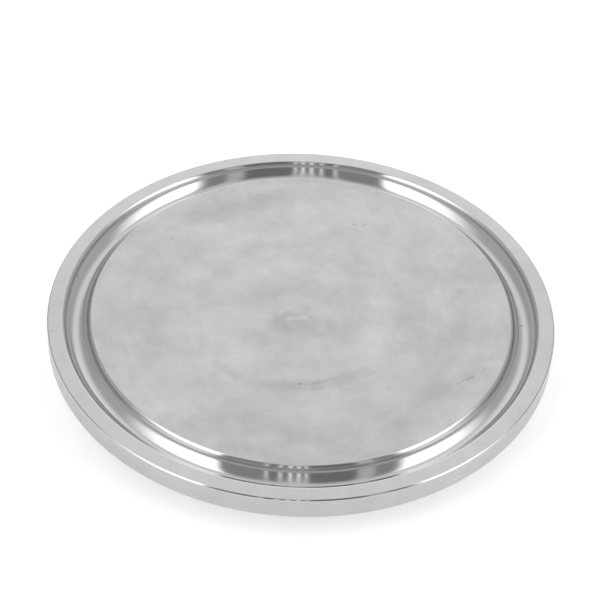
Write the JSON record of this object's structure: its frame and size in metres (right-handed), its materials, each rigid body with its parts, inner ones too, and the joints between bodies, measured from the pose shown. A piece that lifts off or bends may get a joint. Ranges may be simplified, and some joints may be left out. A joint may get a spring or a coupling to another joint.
{
  "type": "sanitary clamp end cap",
  "caption": "Blind round disc with a ring groove for a gasket in its flat face and a conical shoulder behind, which closes the end of a clamped tube joint.",
  "frame": {"origin": "centre of the flat back, on the turning axis", "axes": "+Z along the turning axis, out of the gasket face"},
  "size_m": [0.064, 0.064, 0.0063],
  "materials": {
    "stainless": "turned, satin faces with a polished groove and corners"
  },
  "bodies": {
    "root": {"end_cap": "stainless"}
  },
  "joints": []
}
